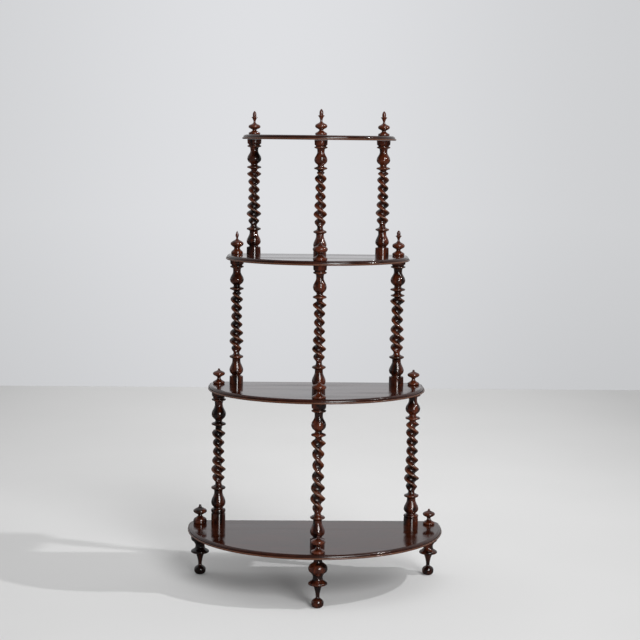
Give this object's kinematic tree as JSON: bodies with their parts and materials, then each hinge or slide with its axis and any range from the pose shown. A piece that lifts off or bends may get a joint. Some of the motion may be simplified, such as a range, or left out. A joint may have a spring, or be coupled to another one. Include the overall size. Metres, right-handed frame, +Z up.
{
  "type": "etagere",
  "caption": "Demi-lune display stand: D-shaped shelves that grow towards the floor, held apart by barley-twist columns with turned finials and feet.",
  "frame": {"origin": "on the floor under the middle of the outline's box: halfway across the bottom shelf and halfway between its straight back edge and the front of its curve", "axes": "+Z up; +Y towards the straight back edge that stands at the wall, so the round front faces -Y; +X to the right seen from the front"},
  "size_m": [0.7, 0.38, 1.2808],
  "materials": {
    "board_wood": "french polished",
    "column_wood": "french polished",
    "finial_wood": "french polished",
    "foot_wood": "french polished"
  },
  "bodies": {
    "root": {"bottom_shelf": "board_wood", "lower_shelf": "board_wood", "upper_shelf": "board_wood", "top_shelf": "board_wood", "bottom_finial_left": "finial_wood", "bottom_finial_front": "finial_wood", "bottom_finial_right": "finial_wood", "lower_finial_left": "finial_wood", "lower_finial_front": "finial_wood", "lower_finial_right": "finial_wood", "upper_finial_left": "finial_wood", "upper_finial_front": "finial_wood", "upper_finial_right": "finial_wood", "top_finial_left": "finial_wood", "top_finial_front": "finial_wood", "top_finial_right": "finial_wood", "lower_column_left": "column_wood", "lower_column_front": "column_wood", "lower_column_right": "column_wood", "middle_column_left": "column_wood", "middle_column_front": "column_wood", "middle_column_right": "column_wood", "upper_column_left": "column_wood", "upper_column_front": "column_wood", "upper_column_right": "column_wood", "foot_left": "foot_wood", "foot_front": "foot_wood", "foot_right": "foot_wood"}
  },
  "joints": []
}
